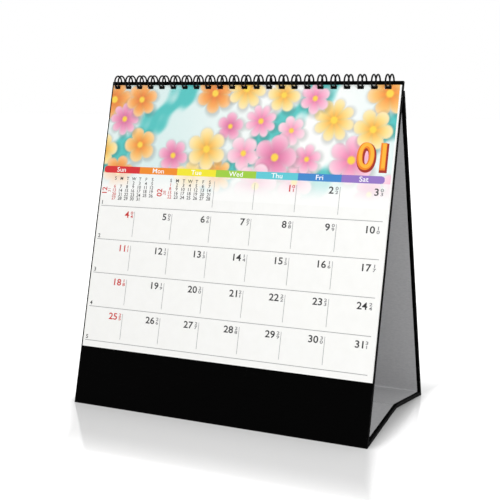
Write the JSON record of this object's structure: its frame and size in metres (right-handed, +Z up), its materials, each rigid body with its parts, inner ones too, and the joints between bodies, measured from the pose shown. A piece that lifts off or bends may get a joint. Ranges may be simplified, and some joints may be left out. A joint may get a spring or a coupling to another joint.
{
  "type": "desk calendar",
  "caption": "Tent-shaped desk calendar with wire-bound month leaves that turn over the top and a board stand that folds flat.",
  "frame": {"origin": "on the table, under the middle of the standing calendar", "axes": "+Z up, +X to the right as the leaves are read, the leaves face -Y"},
  "size_m": [0.2, 0.112, 0.2103],
  "materials": {
    "greyboard": "raw pressed board",
    "black_cover_paper": "matt laminated",
    "grey_lining_paper": "uncoated",
    "black_coated_wire": "nylon coated",
    "leaf_paper": "coated art paper"
  },
  "bodies": {
    "front_panel": {"front_board": "greyboard", "front_cover": "black_cover_paper", "front_lining": "grey_lining_paper", "binding_wire": "black_coated_wire"},
    "base_front": {"base_front_board": "greyboard", "base_front_cover": "black_cover_paper", "base_front_lining": "grey_lining_paper"},
    "base_rear": {"base_rear_board": "greyboard", "base_rear_cover": "black_cover_paper", "base_rear_lining": "grey_lining_paper"},
    "rear_panel": {"rear_board": "greyboard", "rear_cover": "black_cover_paper", "rear_lining": "grey_lining_paper"},
    "january_leaf": {"leaf_january": "leaf_paper"},
    "february_leaf": {"leaf_february": "leaf_paper"},
    "march_leaf": {"leaf_march": "leaf_paper"},
    "april_leaf": {"leaf_april": "leaf_paper"},
    "may_leaf": {"leaf_may": "leaf_paper"},
    "june_leaf": {"leaf_june": "leaf_paper"},
    "july_leaf": {"leaf_july": "leaf_paper"},
    "august_leaf": {"leaf_august": "leaf_paper"},
    "september_leaf": {"leaf_september": "leaf_paper"},
    "october_leaf": {"leaf_october": "leaf_paper"},
    "november_leaf": {"leaf_november": "leaf_paper"},
    "december_leaf": {"leaf_december": "leaf_paper"}
  },
  "joints": [
    {"name": "base_fold", "type": "hinge", "parent": "front_panel", "child": "base_front", "pos_m": [0, -0.05305, 0.0026], "axis": [1, 0, 0], "range_deg": [0, 67.2]},
    {"name": "middle_crease", "type": "hinge", "parent": "base_front", "child": "base_rear", "pos_m": [0, -0.00002, 0.0075], "axis": [1, 0, 0], "range_deg": [-162.41, 0]},
    {"name": "rear_crease", "type": "hinge", "parent": "base_rear", "child": "rear_panel", "pos_m": [0, 0.053, 0.0026], "axis": [1, 0, 0], "range_deg": [0, 66.46]},
    {"name": "turn_december", "type": "hinge", "parent": "front_panel", "child": "december_leaf", "pos_m": [0, -0.00196, 0.20562], "axis": [-1, 0, 0], "range_deg": [0, 270]},
    {"name": "turn_november", "type": "hinge", "parent": "december_leaf", "child": "november_leaf", "pos_m": [0, -0.00196, 0.20562], "axis": [-1, 0, 0], "range_deg": [0, 270]},
    {"name": "turn_october", "type": "hinge", "parent": "november_leaf", "child": "october_leaf", "pos_m": [0, -0.00196, 0.20562], "axis": [-1, 0, 0], "range_deg": [0, 270]},
    {"name": "turn_september", "type": "hinge", "parent": "october_leaf", "child": "september_leaf", "pos_m": [0, -0.00196, 0.20562], "axis": [-1, 0, 0], "range_deg": [0, 270]},
    {"name": "turn_august", "type": "hinge", "parent": "september_leaf", "child": "august_leaf", "pos_m": [0, -0.00196, 0.20562], "axis": [-1, 0, 0], "range_deg": [0, 270]},
    {"name": "turn_july", "type": "hinge", "parent": "august_leaf", "child": "july_leaf", "pos_m": [0, -0.00196, 0.20562], "axis": [-1, 0, 0], "range_deg": [0, 270]},
    {"name": "turn_june", "type": "hinge", "parent": "july_leaf", "child": "june_leaf", "pos_m": [0, -0.00196, 0.20562], "axis": [-1, 0, 0], "range_deg": [0, 270]},
    {"name": "turn_may", "type": "hinge", "parent": "june_leaf", "child": "may_leaf", "pos_m": [0, -0.00196, 0.20562], "axis": [-1, 0, 0], "range_deg": [0, 270]},
    {"name": "turn_april", "type": "hinge", "parent": "may_leaf", "child": "april_leaf", "pos_m": [0, -0.00196, 0.20562], "axis": [-1, 0, 0], "range_deg": [0, 270]},
    {"name": "turn_march", "type": "hinge", "parent": "april_leaf", "child": "march_leaf", "pos_m": [0, -0.00196, 0.20562], "axis": [-1, 0, 0], "range_deg": [0, 270]},
    {"name": "turn_february", "type": "hinge", "parent": "march_leaf", "child": "february_leaf", "pos_m": [0, -0.00196, 0.20562], "axis": [-1, 0, 0], "range_deg": [0, 270]},
    {"name": "turn_january", "type": "hinge", "parent": "february_leaf", "child": "january_leaf", "pos_m": [0, -0.00196, 0.20562], "axis": [-1, 0, 0], "range_deg": [0, 270]}
  ],
  "couplings": [
    {"joint": "middle_crease", "follows": "base_fold", "ratio": -2.4167},
    {"joint": "rear_crease", "follows": "base_fold", "ratio": 0.98887}
  ]
}
